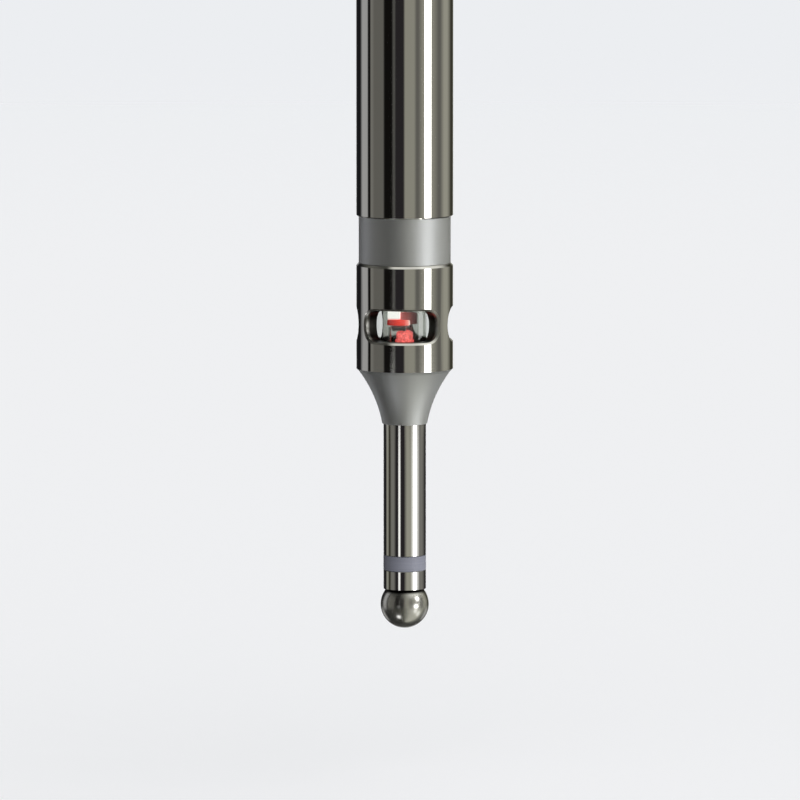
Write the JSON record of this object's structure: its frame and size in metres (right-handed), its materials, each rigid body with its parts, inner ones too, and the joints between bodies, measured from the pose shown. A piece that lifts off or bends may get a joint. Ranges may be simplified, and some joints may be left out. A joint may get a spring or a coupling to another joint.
{
  "type": "photoelectric edge finder",
  "caption": "Straight-shank touch probe with a spring-seated steel ball, a slim insulated stem and lamp windows round its body, for finding a workpiece's edge.",
  "frame": {"origin": "on the tool's axis at the gauge plane, where the spindle's holder ends on the shank", "axes": "+Z along the axis from the ball to the shank's end; one of the three windows faces -Y"},
  "size_m": [0.02, 0.02, 0.1603],
  "materials": {
    "polished_steel": "ground and polished hardened steel",
    "clear_acrylic": "clear turned acrylic",
    "grey_plastic": "turned grey insulating plastic",
    "black_rubber": "moulded seal",
    "battery_can": "plain dark sleeve on a steel can",
    "nickel_contact": "nickel-plated brass",
    "brass_contact": "turned brass",
    "circuit_board": "green lacquered board",
    "red_lamp": "red lamp lens, lit",
    "resistor_coat": "grey lacquer",
    "tinned_wire": "tinned wire",
    "spring_wire": "drawn spring wire"
  },
  "bodies": {
    "shank": {"shank": "polished_steel", "battery_contact_spring": "spring_wire"},
    "joint_seal": {"joint_seal": "black_rubber"},
    "housing": {"housing": "polished_steel", "window_tube": "clear_acrylic", "battery": "battery_can", "upper_board": "circuit_board", "contact_button": "nickel_contact", "lower_board": "circuit_board", "led": "red_lamp", "led_leads": "tinned_wire", "resistor": "resistor_coat", "resistor_leads": "tinned_wire", "lower_contact": "brass_contact", "led_contact_spring": "spring_wire", "stem": "polished_steel", "insulating_sleeve": "grey_plastic", "seat_sleeve": "polished_steel", "anchor_bush": "brass_contact"},
    "ball_spring": {"spring_anchor": "spring_wire", "tension_spring": "spring_wire"},
    "ball": {"ball": "polished_steel", "ball_eye": "spring_wire"}
  },
  "joints": [
    {"name": "body_travel", "type": "slide", "parent": "shank", "child": "joint_seal", "axis": [0, 0, -1], "range_m": [0, 0.006], "deforming": ["battery_contact_spring"]},
    {"name": "body_unscrew", "type": "hinge", "parent": "joint_seal", "child": "housing", "pos_m": [0, 0, -0.023], "axis": [0, 0, -1], "range_deg": [0, 2160]},
    {"name": "ball_turn", "type": "hinge", "parent": "housing", "child": "ball_spring", "pos_m": [0, 0, -0.054], "axis": [0, 0, 1], "continuous": true},
    {"name": "ball_tip", "type": "hinge", "parent": "ball_spring", "child": "ball", "pos_m": [0.0039, 0, -0.0911], "axis": [0, -1, 0], "range_deg": [0, 30], "stiffness_Nm_per_rad": 0.03, "springref_deg": -11.46, "deforming": ["tension_spring"]}
  ],
  "couplings": [
    {"joint": "body_unscrew", "follows": "body_travel", "rad_per_m": 6283.2}
  ]
}
